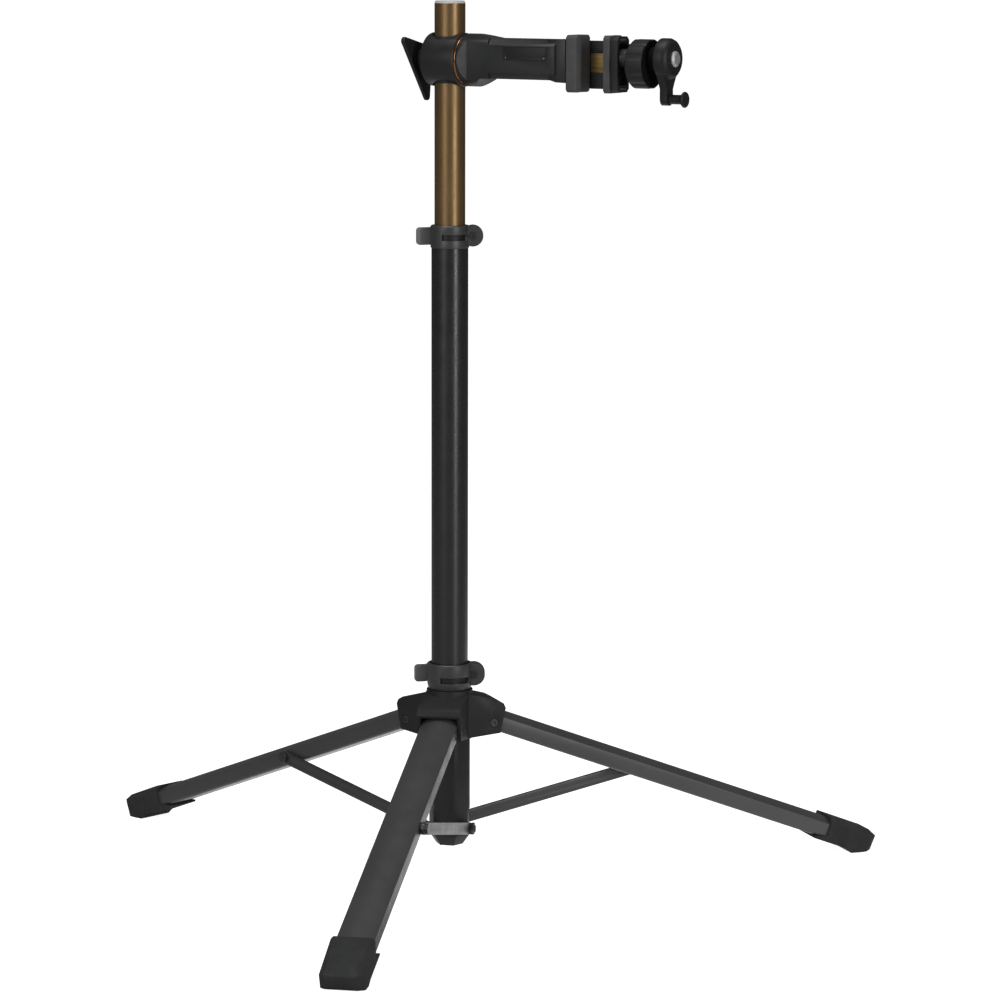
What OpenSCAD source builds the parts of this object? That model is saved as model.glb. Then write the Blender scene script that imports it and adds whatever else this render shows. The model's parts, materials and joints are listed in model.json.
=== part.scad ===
// Folding tripod repair stand for bicycles: a sliding leg hub on a round column,
// a telescopic mast held by quick-release collars, and a rotating clamp head with a screw jaw.
// Frame: floor at z = 0, column axis on Z, clamp arm along +X. Millimetres.

/* [Column] */
// Outside diameter of the main tube
tube_d = 42; // [40:0.5:44]
// Wall of the main tube
tube_wall = 2; // [1.6:0.1:2.4]
// Length of the main tube
tube_len = 685; // [660:1:760]
// Height of the tube's lower end above the floor
base_z = 54.5; // [50:0.5:58]
// Height of the tapered cap under the tube
base_cap_h = 13; // [8:0.5:16]
// Diameter of the base cap's flat bottom
base_cap_d = 27; // [22:0.5:32]
// Length of the solid plug in the tube's lower end
base_plug_h = 25; // [22:0.5:30]
// Width across the flats of the hexagonal lower sleeve
sleeve_flats = 43.6; // [43:0.1:44.4]
// Diameter that rounds the sleeve's six corners
sleeve_round_d = 47.2; // [46.4:0.1:48]

/* [Hub] */
// Height of the hub
hub_h = 57; // [54:0.5:62]
// Diameter of the hub's round core
hub_core_d = 53; // [52:0.5:56]
// Wall of the plastic liner between hub and tube
hub_liner_wall = 1.5; // [1.2:0.1:1.8]
// Distance of the leg pivots from the column axis
pivot_r = 46; // [45:0.5:48]
// Height of the leg pivots above the hub's lower face
pivot_rise = 18; // [17:0.5:20]
// Width of a hub arm
hub_arm_w = 51; // [50:0.5:54]
// Clearance on each side of a leg in its hub pocket
pocket_clear = 0.5; // [0.4:0.1:0.8]

/* [Legs] */
// Height of the leg pivots above the floor
pivot_z = 185; // [178:1:192]
// Slope of the legs below the horizontal, in degrees
leg_slope = 20.6; // [18:0.2:24]
// Direction of the first leg, measured from the arm
leg_turn = -70.4; // [-90:0.2:-50]
// Width of the leg tube
leg_w = 42; // [38:0.5:43]
// Height of the leg tube
leg_h = 24; // [23:0.5:25]
// Rise of the leg's arched top above its flat sides
leg_arch = 6.5; // [5:0.5:8]
// Wall of the leg tube
leg_wall = 2; // [1.6:0.1:2.4]
// Radius of the leg's rounded lower edges
leg_corner = 3.5; // [2.5:0.5:4]
// Distance from the leg's flat underside to its pivot
leg_under = 8.4; // [7.8:0.1:9]
// Radius of the leg's rounded inner end about the pivot
leg_end_r = 17.2; // [17:0.1:17.8]
// Length of the solid block in the leg's inner end
leg_block_len = 30; // [24:1:40]
// Diameter of the leg pivot bolts
leg_bolt_d = 6; // [5:0.5:7]

/* [Feet] */
// Width of a foot cap
foot_w = 48.5; // [47:0.5:52]
// Length of a foot cap's upper side
foot_top_len = 66; // [58:1:74]
// How far the underside lip runs back beyond the upper side
foot_lip = 12; // [6:1:20]
// Distance from the contact patch to the toe's tip
foot_toe = 20; // [16:0.5:24]
// Rubber over the leg's crown
foot_over = 2.4; // [2:0.1:3.5]
// Rubber under the leg
foot_under = 3.4; // [2.6:0.1:4.5]
// Length of the flat contact patch
foot_patch = 12; // [8:1:16]
// Depth of leg inside the foot cap
foot_socket = 32; // [26:1:36]

/* [Struts] */
// Depth of a strut bar
strut_h = 14; // [12:0.5:15]
// Thickness of a strut bar
strut_t = 4.5; // [3.5:0.5:5.5]
// Clearance between a strut's inner face and the side of its leg
strut_clear = 1.6; // [1.4:0.1:2.4]
// Distance from the leg pivot to the strut pivot, along the leg
strut_on_leg = 210; // [190:1:230]
// Height of the strut pivot above the line of the leg pivot
strut_up_leg = 2; // [0:0.5:3]
// Reach of the inner strut pivot from the column axis
strut_in_r = 9.5; // [8.5:0.5:10.5]
// Height of the inner strut pivot above the tube's lower end
strut_in_rise = 7.5; // [7:0.5:9]
// Diameter of the strut bolts
strut_bolt_d = 6; // [5:0.5:7]

/* [Quick-release collars] */
// Direction of the collar ears, measured from the arm
ear_turn = 32; // [0:1:60]
// Height of the upper collar
upper_collar_h = 25.5; // [24:0.5:30]
// Diameter of the upper collar
upper_collar_d = 44; // [43.6:0.2:46]
// Length of tube covered by the upper collar
upper_skirt = 6.5; // [5:0.5:8]
// Reach of the upper collar's ears
upper_ear_x = 26; // [25:0.5:28]
// Radius of the upper collar's ears
upper_ear_r = 12; // [11:0.1:12.4]
// Height of the upper ears' axis above the collar's lower face
upper_ear_rise = 13.6; // [13:0.1:14]
// Height of the lower collar
lower_collar_h = 30.5; // [29:0.5:33]
// Diameter of the lower collar
lower_collar_d = 52.2; // [51.6:0.2:54]
// Reach of the lower collar's ears
lower_ear_x = 27.7; // [27:0.1:30]
// Radius of the lower collar's ears
lower_ear_r = 13; // [12:0.1:13.6]
// Height of the lower ears' axis above the collar's lower face
lower_ear_rise = 17.5; // [16:0.5:19]
// Height over which the lower collar's foot is rounded
lower_collar_bowl = 12; // [6:0.5:14]
// Half thickness of the two ears together
ear_half = 8; // [7:0.5:9]
// Split between the ears
ear_split = 3; // [2:0.5:4]
// Thickness of the lever's thrust washer
washer_t = 2.5; // [2:0.5:3]
// Radius of the lever's cam boss
cam_r = 5.5; // [5.2:0.1:6]
// Height of a lever
lever_h = 20; // [18:0.5:22]
// Thickness of a lever
lever_t = 4; // [3.5:0.5:4.5]
// Length of a lever's flat tip
lever_tip = 16; // [12:1:20]
// Height of the flex slot in a collar
slot_h = 6.8; // [5:0.2:8]
// Drop of the lower collar's slot below its ears' axis
lower_slot_drop = 5; // [3:0.5:6]
// Drop of the upper collar's slot below its ears' axis
upper_slot_drop = 1.5; // [0:0.5:3]

/* [Mast] */
// Diameter of the mast tube
mast_d = 35; // [34:0.5:35.5]
// Wall of the mast tube
mast_wall = 1.8; // [1.5:0.1:2.2]
// Length of the mast tube
mast_len = 773; // [740:1:790]
// Length of mast inside the main tube
mast_in = 504; // [440:1:540]
// Length of the guide bush in the main tube's mouth
bush_len = 38; // [30:1:50]
// Length of the guide ring at the mast's lower end
mast_guide_h = 30; // [20:1:40]

/* [Clamp head] */
// Distance from the mast's top end down to the arm axis
head_drop = 63; // [40:1:90]
// Diameter of the head housing
housing_d = 60.4; // [59:0.2:62]
// Reach of the housing behind the mast
housing_back = 26; // [25:0.5:28]
// Reach of the housing in front of the mast
housing_front = 21.5; // [21.5:0.1:23]
// Wall of the bush between mast and housing
head_bush_wall = 2; // [1.6:0.1:2.4]
// Diameter of the bronze swivel ring
ring_d = 56.8; // [54:0.2:58]
// Width of the bronze swivel ring
ring_w = 2.7; // [2.2:0.1:3.5]
// Diameter of the swivel spindle
spindle_d = 28; // [24:0.5:30]
// Length of the swivel spindle inside the arm
spindle_len = 36; // [30:1:40]
// Reach of the tension knob's lobes
knob_reach = 48; // [42:0.5:52]
// Angle between the tension knob's wings
knob_spread = 130; // [110:1:140]
// Direction midway between the tension knob's wings, turned up from the level
knob_turn = 216; // [200:1:230]
// Thickness of the tension knob's plate
knob_t = 5; // [4:0.5:7]
// Length of the tension knob's neck
knob_neck = 7.7; // [6:0.1:9]

/* [Arm] */
// Diameter of the arm's round end
arm_big_d = 59.4; // [58:0.2:60]
// Length of the arm's round end with its cone
arm_big_len = 38; // [34:1:42]
// Distance from the mast axis to the jaw end of the arm
arm_reach = 160.4; // [155:0.1:180]
// Height of the arm section
arm_h = 45; // [43:0.5:47]
// Width of the arm section
arm_w = 40; // [38:0.5:42]
// Rise of the arm section's middle above the arm axis
arm_rise = 2.5; // [1:0.5:3]
// Length of the cover panel in the arm's near side
panel_len = 55; // [40:1:60]
// Height of the cover panel
panel_h = 14.5; // [10:0.5:16]
// Rise of the cover panel's lower edge above the arm axis
panel_rise = 1.5; // [0:0.5:4]

/* [Jaws] */
// Height of a jaw pad
pad_h = 63.4; // [60:0.2:66]
// Width of the fixed pad
pad_w = 32; // [30:0.5:33]
// Thickness of the fixed pad
pad_t = 13.6; // [11:0.2:15]
// Width of the moving pad
moving_pad_w = 30; // [28:0.5:31]
// Thickness of the moving pad
moving_pad_t = 7.8; // [6:0.2:9]
// Gap between the pads
jaw_gap = 33.8; // [32:0.2:36]
// Depth of the moving jaw's body
jaw_plate_t = 9.5; // [8:0.5:12]
// Wall between the moving jaw's front face and the recess in its back
jaw_web_t = 5; // [4:0.5:6]
// Distance from the moving jaw to the end housing
jaw_spare = 15; // [12:0.5:18]
// How far the moving jaw can still draw back from here
jaw_back = 8; // [5:0.5:9]
// Length of the fluted end housing
end_len = 22; // [20:0.5:26]
// Diameter of the fluted end housing
end_d = 54.5; // [52:0.5:56]
// Thickness of the rail behind the jaws
rail_t = 10; // [8:0.5:12]
// Height of the bronze guide bar
guide_h = 21.4; // [20:0.2:25]
// Rise of the screw above the arm axis
screw_rise = 6; // [4:0.5:7]
// Diameter of the lead screw
screw_d = 12; // [10:0.5:13]
// Outside diameter of the ram tube
ram_d = 20; // [19:0.5:21]
// Length of ram tube beyond the end housing
ram_over = 12; // [10:0.5:12]

/* [Crank] */
// Diameter of the crank's round boss
crank_boss_d = 45.2; // [42:0.2:48]
// Thickness of the crank's round boss
crank_boss_t = 15; // [12:0.5:16]
// Distance from the screw to the handle's axis
crank_throw = 44; // [38:0.5:50]
// Width of the crank arm
crank_arm_w = 14; // [12:0.5:16]
// Diameter of the handle's grip
grip_d = 10.5; // [9:0.5:12]
// Length of the handle
grip_len = 20; // [16:0.5:26]

/* [Hidden] */
$fn = 96;

// Clearances
fit = 0.05;
gap = 0.3;
bolt_clear = 0.1;

// Column levels
tube_r = tube_d / 2;
tube_in_r = tube_r - tube_wall;
tube_top = base_z + tube_len;
mast_r = mast_d / 2;
mast_z0 = tube_top - mast_in;
mast_top = mast_z0 + mast_len;
mast_cap_h = 3;

// Hub levels and outline, seen along the leg's tangent: distance from the axis, height over the hub's foot
hub_z0 = pivot_z - pivot_rise;
hub_top = hub_z0 + hub_h;
hub_liner_r = tube_r + fit + hub_liner_wall;
arm_tip_r = pivot_r + 14;
HUB_ARM = [
  [0, 1], [5, 1], [arm_tip_r - 6.5, pivot_rise - 12], [arm_tip_r, pivot_rise + 17],
  [arm_tip_r - 2.5, pivot_rise + 22.5], [arm_tip_r - 10, pivot_rise + 26.5], [5, hub_h - 1], [0, hub_h - 1]
];
pocket_in = pivot_r - leg_end_r - 1.3;
roof_drop = 0.396;
HUB_POCKET = [
  [pocket_in, -5], [pocket_in, pivot_rise + 19.7 + (pivot_r - pocket_in) * roof_drop],
  [arm_tip_r + 8, pivot_rise + 19.7 - (arm_tip_r + 8 - pivot_r) * roof_drop], [arm_tip_r + 8, -5]
];
bolt_head_r = 4.8;
bolt_head_h = 1.8;

// Leg section: arch radius and centre, heights measured from the pivot
arch_r = (leg_w * leg_w / 4 + leg_arch * leg_arch) / (2 * leg_arch);
leg_over = leg_h - leg_under;
arch_c = leg_over - arch_r;

// Contact patch of a foot, in the leg's own axes
foot_drop = leg_under + foot_under + 1.2;
foot_x = (pivot_z - foot_drop * cos(leg_slope)) / sin(leg_slope);
foot_mouth = foot_x + foot_toe - foot_top_len;
leg_end = foot_mouth + foot_socket;

// Strut pivots, as distance from the axis and height
strut_out_r = pivot_r + strut_on_leg * cos(leg_slope) + strut_up_leg * sin(leg_slope);
strut_out_z = pivot_z - strut_on_leg * sin(leg_slope) + strut_up_leg * cos(leg_slope);
strut_in_z = base_z + strut_in_rise;
strut_len = norm([strut_out_r - strut_in_r, strut_out_z - strut_in_z]);
strut_slope = atan2(strut_out_z - strut_in_z, strut_out_r - strut_in_r);
strut_face = leg_w / 2 + strut_clear;
strut_back = strut_face + strut_t;

// Collar levels
upper_collar_z = tube_top - upper_skirt;
upper_bore_r = tube_in_r;
lower_collar_z = hub_top;
upper_ear_z = upper_collar_z + upper_ear_rise;
lower_ear_z = lower_collar_z + lower_ear_rise;
lever_drop = 1.5;
washer_r = 6.4;
pin_r = 2;
eye_r = 4.4;
eye_h = 7;
shank_r = 3;

// Clamp head, along the arm
arm_z = mast_top - head_drop;
head_bush_r = mast_r + fit + head_bush_wall;
ring_x1 = housing_front + ring_w;
arm_x0 = ring_x1 + gap;
spindle_x1 = arm_x0 + spindle_len;
spindle_flange_r = 20;
spindle_washer_r = spindle_d / 2 + 2.5;
stud_r = 4;
knob_x = -housing_back - gap - knob_neck;

// Jaws, along the arm
arm_lo = arm_rise - arm_h / 2;
arm_hi = arm_rise + arm_h / 2;
flange_x = arm_reach - 12;
fixed_face = arm_reach + pad_t;
moving_face = fixed_face + jaw_gap;
plate_x0 = moving_face + moving_pad_t;
plate_x1 = plate_x0 + jaw_plate_t;
end_x0 = plate_x1 + jaw_spare;
end_x1 = end_x0 + end_len;
pad_mid = -1.2;
rail_y = pad_w / 2 + 1;
guide_proud = 0.8;
ledge_z = guide_h / 2 - 0.4;
ledge_h = 3.2;
screw_z = arm_z + screw_rise;
screw_r = screw_d / 2;
ram_r = ram_d / 2;
ram_x1 = end_x1 + ram_over;
collar_x0 = end_x1 + 0.5;
boss_x0 = collar_x0 + 12;
boss_x1 = boss_x0 + crank_boss_t;
cavity_x1 = boss_x1 - 4;
handle_z = screw_z - crank_throw;
crank_web_x1 = boss_x0 + 9.5;
handle_x1 = crank_web_x1 + 0.3 + grip_len;

// ---------- helpers ----------

// Cylinder along X, Y or Z between two stations
module rod_x(y, z, r, x0, x1) {
  translate([x0, y, z]) rotate([0, 90, 0]) cylinder(r = r, h = x1 - x0);
}

module rod_y(x, z, r, y0, y1) {
  translate([x, y0, z]) rotate([-90, 0, 0]) cylinder(r = r, h = y1 - y0);
}

module rod_z(x, y, r, z0, z1) {
  translate([x, y, z0]) cylinder(r = r, h = z1 - z0);
}

module ring_z(r_out, r_in, z0, z1) {
  difference() {
    rod_z(0, 0, r_out, z0, z1);
    rod_z(0, 0, r_in, z0 - 1, z1 + 1);
  }
}

// Box from its low corner to its high corner
module box(lo, hi) {
  translate(lo) cube(hi - lo);
}

// An outline in X and Z, given thickness along Y
module side_plate(points, y0, y1) {
  translate([0, y1, 0]) rotate([90, 0, 0]) linear_extrude(y1 - y0) polygon(points);
}

// A child drawn in Y and Z, given length along X
module run_x(x0, x1) {
  translate([x0, 0, 0]) rotate([90, 0, 90]) linear_extrude(x1 - x0) children();
}

// A turned shape about the X axis, from points of radius and station
module lathe_x(points) {
  rotate([0, 90, 0]) rotate_extrude() polygon(points);
}

module hex_socket_y(x, z, r, y0, y1) {
  translate([x, y0, z]) rotate([-90, 0, 0]) cylinder(r = r, h = y1 - y0, $fn = 6);
}

module rounded_rect(w, h, r) {
  translate([-w / 2, -h / 2 + r]) square([w, h - 2 * r]);
  translate([-w / 2 + r, -h / 2]) square([w - 2 * r, h]);
  for (x = [-1, 1], y = [-1, 1]) translate([x * (w / 2 - r), y * (h / 2 - r)]) circle(r = r);
}

function chamfered(y0, y1, z0, z1, c) = [
  [y0 + c, z0], [y1 - c, z0], [y1, z0 + c], [y1, z1 - c],
  [y1 - c, z1], [y0 + c, z1], [y0, z1 - c], [y0, z0 + c]
];

// Places a child at one of the three legs: X outwards, Y along the tangent
module at_leg(i) {
  rotate([0, 0, leg_turn + 120 * i]) children();
}

// The leg's own axes: origin on its pivot, X along the leg
module on_leg(i) {
  at_leg(i) translate([pivot_r, 0, pivot_z]) rotate([0, leg_slope, 0]) children();
}

// ---------- column ----------

module main_tube() {
  color("#1d1d1e") difference() {
    ring_z(tube_r, tube_in_r, base_z, tube_top);
    strut_bolt_holes();
  }
}

module strut_bolt_holes() {
  for (i = [0:2]) at_leg(i)
    rod_y(strut_in_r, strut_in_z, strut_bolt_d / 2 + bolt_clear, 5, strut_back);
}

module lower_sleeve() {
  color("#323232") difference() {
    intersection() {
      at_leg(0) rotate([0, 0, 30])
        translate([0, 0, base_z]) cylinder(d = sleeve_flats / cos(30), h = hub_z0 - gap - base_z, $fn = 6);
      rod_z(0, 0, sleeve_round_d / 2, base_z, hub_z0);
    }
    rod_z(0, 0, tube_r + fit, base_z - 1, hub_z0);
    // flats that the struts turn against
    for (i = [0:2]) at_leg(i)
      box([-12, strut_face - gap, base_z - 1], [24, tube_r + 5, strut_in_z + strut_h + 8]);
    strut_bolt_holes();
  }
}

module base_plug() {
  color("#222222") difference() {
    rod_z(0, 0, tube_in_r - fit, base_z, base_z + base_plug_h);
    rod_z(0, 0, 2.5 + fit, base_z - 1, base_z + 15);
    for (i = [0:2]) at_leg(i)
      rod_y(strut_in_r, strut_in_z, strut_bolt_d / 2 + fit, 5, tube_r);
  }
}

// A prism across one pair of the cap's flats, narrowing downwards
module cap_flats(i) {
  top = sleeve_flats / 2 - 0.3;
  at_leg(i) side_plate([
    [-base_cap_d / 2, base_z - base_cap_h], [base_cap_d / 2, base_z - base_cap_h],
    [top, base_z], [-top, base_z]
  ], -sleeve_round_d, sleeve_round_d);
}

module base_cap() {
  color("#2b2b2b") difference() {
    intersection() {
      cap_flats(0);
      cap_flats(1);
      cap_flats(2);
      rod_z(0, 0, sleeve_round_d / 2 - 0.5, base_z - base_cap_h, base_z);
    }
    rod_z(0, 0, 2.5 + bolt_clear, base_z - base_cap_h - 1, base_z + 1);
    rod_z(0, 0, 5.2, base_z - base_cap_h - 1, base_z - base_cap_h + 3);
    // drain hole in the taper
    rotate([0, 0, leg_turn - 20]) rod_z(base_cap_d / 2 + 1, 0, 1.6, base_z - base_cap_h - 1, base_z - 4);
  }
}

module base_screw() {
  color("#8a8a8a") difference() {
    union() {
      rod_z(0, 0, 5, base_z - base_cap_h + 0.4, base_z - base_cap_h + 3);
      rod_z(0, 0, 2.5, base_z - base_cap_h + 2, base_z + 14);
    }
    translate([0, 0, base_z - base_cap_h - 1]) cylinder(r = 2, h = 3, $fn = 6);
  }
}

// Shoulder bolts that carry the struts' inner ends
module strut_pivot_bolts() {
  color("#2a2a2a") for (i = [0:2]) at_leg(i) {
    rod_y(strut_in_r, strut_in_z, strut_bolt_d / 2, 6, strut_back + 1);
    hex_socket_y(strut_in_r, strut_in_z, 7.4, strut_back + gap, strut_back + gap + 4);
    rod_y(strut_in_r, strut_in_z, 4, strut_back + gap + 3, strut_back + gap + 5.5);
  }
}

module mast_bush() {
  color("#151515") ring_z(tube_in_r - fit, mast_r + fit, tube_top - bush_len, tube_top + 16);
}

// ---------- quick-release collars ----------

// A split collar with two ears, a flex slot and a bolt bore; z0 is its lower face, zm its ears' axis
module clamp_collar(z0, h, r_out, r_in, ear_x, ear_r, zm, slot_z, bowl_h, bowl_in) {
  difference() {
    union() {
      rotate_extrude() polygon([
        [r_in - 1, z0 + h], [r_in - 1, z0],
        for (a = [0:18:90]) [r_out - bowl_in * (1 - sin(a)), z0 + bowl_h * (1 - cos(a))],
        [r_out, z0 + h - 1], [r_out - 1, z0 + h]
      ]);
      rotate([0, 0, ear_turn]) rod_y(ear_x, zm, ear_r, -ear_half, ear_half);
    }
    rod_z(0, 0, r_in, z0 - 1, z0 + h + 1);
    rotate([0, 0, ear_turn]) {
      box([r_in - 4, -ear_split / 2, z0 - 1], [ear_x + ear_r + 2, ear_split / 2, z0 + h + 1]);
      rod_y(ear_x, zm, shank_r + bolt_clear, -ear_half - 1, ear_half + 1);
      rod_y(ear_x, zm, bolt_head_r + 0.2, -ear_half - 1, -ear_half + 3);
      rod_y(ear_x, zm, washer_r + gap, ear_half, ear_half + washer_t + 1);
    }
    // flex slot across the front of the collar
    rotate([0, 0, ear_turn - 115]) rotate_extrude(angle = 86)
      translate([r_in - 1, slot_z - slot_h / 2]) square([r_out - r_in + 3, slot_h]);
  }
}

// The collar's bolt, with a hexagon socket in its head and an eye for the lever's pin
module clamp_bolt(zm, ear_x) {
  eye_y = ear_half + washer_t + gap + cam_r;
  color("#6f7173") rotate([0, 0, ear_turn]) difference() {
    union() {
      rod_y(ear_x, zm, bolt_head_r, -ear_half + 0.2, -ear_half + 3);
      rod_y(ear_x, zm, shank_r, -ear_half + 2, eye_y - 2);
      rod_z(ear_x, eye_y, eye_r, zm - eye_h / 2, zm + eye_h / 2);
    }
    hex_socket_y(ear_x, zm, 2.4, -ear_half, -ear_half + 2);
    rod_z(ear_x, eye_y, pin_r + fit, zm - eye_h, zm + eye_h);
  }
}

module thrust_washer(zm, ear_x) {
  color("#151515") rotate([0, 0, ear_turn]) difference() {
    rod_y(ear_x, zm, washer_r, ear_half, ear_half + washer_t);
    rod_y(ear_x, zm, shank_r + bolt_clear, ear_half - 1, ear_half + washer_t + 1);
  }
}

module lever_pin(zm, ear_x) {
  lz = zm - lever_drop;
  eye_y = ear_half + washer_t + gap + cam_r;
  color("#8a8a8a") rotate([0, 0, ear_turn])
    rod_z(ear_x, eye_y, pin_r, lz - lever_h / 2 + 1, lz + lever_h / 2 - 1);
}

// The cam lever: a forked boss, a band that follows the collar and a flat tip
module cam_lever(zm, ear_x, band_r) {
  lz = zm - lever_drop;
  eye_y = ear_half + washer_t + gap + cam_r;
  start = atan2(eye_y, ear_x);
  tip_a = 155;
  color("#505251") rotate([0, 0, ear_turn]) difference() {
    union() {
      rod_z(ear_x, eye_y, cam_r, lz - lever_h / 2, lz + lever_h / 2);
      rotate([0, 0, start]) rotate_extrude(angle = tip_a - start)
        translate([band_r, lz - lever_h / 2]) square([lever_t, lever_h]);
      rotate([0, 0, tip_a]) translate([band_r + lever_t / 2, 0, lz]) rotate([0, 0, 37])
        translate([lever_tip / 2 - 2, lever_t / 2, 0]) rotate([90, 0, 0])
          linear_extrude(lever_t) rounded_rect(lever_tip, lever_h, 4);
    }
    rod_z(ear_x, eye_y, pin_r + fit, lz - lever_h, lz + lever_h);
    rod_z(ear_x, eye_y, eye_r + 0.5, zm - eye_h / 2 - gap, zm + eye_h / 2 + gap);
    box([ear_x - shank_r - 0.4, eye_y - cam_r - 3, zm - eye_h / 2 - gap],
        [ear_x + cam_r + 3, eye_y + 7, zm + eye_h / 2 + gap]);
  }
}

upper_band_r = upper_collar_d / 2 + 3;
lower_band_r = lower_collar_d / 2 + 1.6;

module upper_collar() {
  color("#3e3e3e") difference() {
    clamp_collar(upper_collar_z, upper_collar_h, upper_collar_d / 2, upper_bore_r, upper_ear_x, upper_ear_r,
                 upper_ear_z, upper_ear_z - upper_slot_drop, 1, 0.5);
    rod_z(0, 0, tube_r + fit, upper_collar_z - 1, tube_top);
  }
}

module upper_clamp_bolt() clamp_bolt(upper_ear_z, upper_ear_x);

module upper_washer() thrust_washer(upper_ear_z, upper_ear_x);

module upper_lever_pin() lever_pin(upper_ear_z, upper_ear_x);

module upper_lever() cam_lever(upper_ear_z, upper_ear_x, upper_band_r);

module lower_collar() {
  color("#3e3e3e") clamp_collar(lower_collar_z, lower_collar_h, lower_collar_d / 2, hub_liner_r + fit,
                                lower_ear_x, lower_ear_r, lower_ear_z, lower_ear_z - lower_slot_drop,
                                lower_collar_bowl, lower_collar_d / 2 - hub_liner_r - 0.6);
}

module lower_clamp_bolt() clamp_bolt(lower_ear_z, lower_ear_x);

module lower_washer() thrust_washer(lower_ear_z, lower_ear_x);

module lower_lever_pin() lever_pin(lower_ear_z, lower_ear_x);

module lower_lever() cam_lever(lower_ear_z, lower_ear_x, lower_band_r);

// ---------- hub ----------

module hub_spider() {
  color("#2a2a2a") difference() {
    union() {
      rod_z(0, 0, hub_core_d / 2, hub_z0, hub_top);
      for (i = [0:2]) at_leg(i) translate([0, 0, hub_z0])
        side_plate(HUB_ARM, -hub_arm_w / 2, hub_arm_w / 2);
    }
    rod_z(0, 0, hub_liner_r + fit, hub_z0 - 1, hub_top + 1);
    for (i = [0:2]) at_leg(i) {
      translate([0, 0, hub_z0])
        side_plate(HUB_POCKET, -leg_w / 2 - pocket_clear, leg_w / 2 + pocket_clear);
      rod_y(pivot_r, pivot_z, leg_bolt_d / 2 + bolt_clear, -hub_arm_w, hub_arm_w);
      for (s = [-1, 1])
        rod_y(pivot_r, pivot_z, bolt_head_r + 0.5, s * hub_arm_w / 2 - 2, s * hub_arm_w / 2 + 2);
    }
  }
}

// Plastic liner that runs on the tube; its slotted neck is squeezed by the lower collar
module hub_liner() {
  color("#151515") ring_z(hub_liner_r, tube_r + fit, hub_z0, hub_top + lower_collar_h - 2);
}

module leg_pivot_bolts() {
  reach = hub_arm_w / 2 - 2;
  color("#3a3a3a") for (i = [0:2]) at_leg(i) difference() {
    union() {
      rod_y(pivot_r, pivot_z, leg_bolt_d / 2, -reach - 0.5, reach + 0.5);
      rod_y(pivot_r, pivot_z, bolt_head_r, reach, reach + bolt_head_h);
      rod_y(pivot_r, pivot_z, bolt_head_r, -reach - bolt_head_h, -reach);
    }
    for (s = [-1, 1])
      hex_socket_y(pivot_r, pivot_z, 2.3, s * (reach + bolt_head_h) - 1.2, s * (reach + bolt_head_h) + 1.2);
  }
}

// ---------- legs ----------

// The leg's D-shaped section, grown or shrunk by an even amount
module leg_section(grow) {
  core_w = leg_w - 2 * leg_corner;
  intersection() {
    union() {
      translate([-leg_w / 2 - grow, leg_corner - leg_under]) square([leg_w + 2 * grow, leg_h]);
      translate([-core_w / 2, -leg_under - grow]) square([core_w, leg_h]);
      for (s = [-1, 1]) translate([s * core_w / 2, leg_corner - leg_under]) circle(r = leg_corner + grow);
    }
    translate([0, arch_c]) circle(r = arch_r + grow);
  }
}

// Everything inward of the pivot that lies outside the leg's rounded end
module beyond_leg_end() {
  difference() {
    box([-50, -leg_w, -50], [0, leg_w, 50]);
    rod_y(0, 0, leg_end_r, -leg_w - 1, leg_w + 1);
  }
}

module leg(i) {
  color("#4a4a4a") on_leg(i) difference() {
    run_x(-leg_end_r - 1, leg_end) leg_section(0);
    run_x(-leg_end_r - 2, leg_end + 1) leg_section(-leg_wall);
    beyond_leg_end();
    rod_y(0, 0, leg_bolt_d / 2 + bolt_clear, -leg_w, leg_w);
  }
}

// Solid block in the leg's inner end that turns on the pivot bolt
module leg_block(i) {
  color("#1c1c1c") on_leg(i) difference() {
    run_x(-leg_end_r - 1, leg_block_len) leg_section(-leg_wall - fit);
    beyond_leg_end();
    rod_y(0, 0, leg_bolt_d / 2 + fit, -leg_w, leg_w);
  }
}

module foot(i) {
  top = leg_over + foot_over;
  under = -leg_under - foot_under;
  patch = foot_patch / 2;
  outline = [
    [foot_mouth, top], [foot_mouth + 3, 8], [foot_mouth + 3, -5],
    [foot_mouth - foot_lip, -leg_under - 1], [foot_mouth - foot_lip, under],
    [foot_x - patch - 8, under],
    [foot_x - patch * cos(leg_slope), -foot_drop - patch * sin(leg_slope)],
    [foot_x + patch * cos(leg_slope), -foot_drop + patch * sin(leg_slope)],
    [foot_x + foot_toe - 1.5, -4.5], [foot_x + foot_toe, 13], [foot_x + foot_toe - 11, top]
  ];
  plan = [
    [foot_mouth - foot_lip - 1, -foot_w / 2], [foot_x + foot_toe - 8, -foot_w / 2],
    [foot_x + foot_toe, -foot_w / 2 + 8], [foot_x + foot_toe, foot_w / 2 - 8],
    [foot_x + foot_toe - 8, foot_w / 2], [foot_mouth - foot_lip - 1, foot_w / 2]
  ];
  section = [
    [-foot_w / 2 + 3, -leg_under - foot_under - 20], [foot_w / 2 - 3, -leg_under - foot_under - 20],
    [foot_w / 2, -leg_under], [foot_w / 2, top], [-foot_w / 2, top], [-foot_w / 2, -leg_under]
  ];
  color("#343634") on_leg(i) difference() {
    intersection() {
      side_plate(outline, -foot_w, foot_w);
      linear_extrude(2 * foot_w, center = true) polygon(plan);
      run_x(foot_mouth - foot_lip - 1, foot_x + foot_toe + 1) polygon(section);
    }
    run_x(foot_mouth - foot_lip - 2, leg_end) leg_section(fit);
    // chamfers beside the top, wider towards the toe
    for (s = [-1, 1])
      translate([foot_mouth, s * (foot_w / 2 - 3), top]) rotate([0, 0, -s * 6]) rotate([-s * 45, 0, 0])
        box([-30, -30, 0], [foot_top_len + 30, 30, 20]);
  }
}

// ---------- struts ----------

module on_strut(i) {
  at_leg(i) translate([strut_in_r, 0, strut_in_z]) rotate([0, -strut_slope, 0]) children();
}

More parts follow.
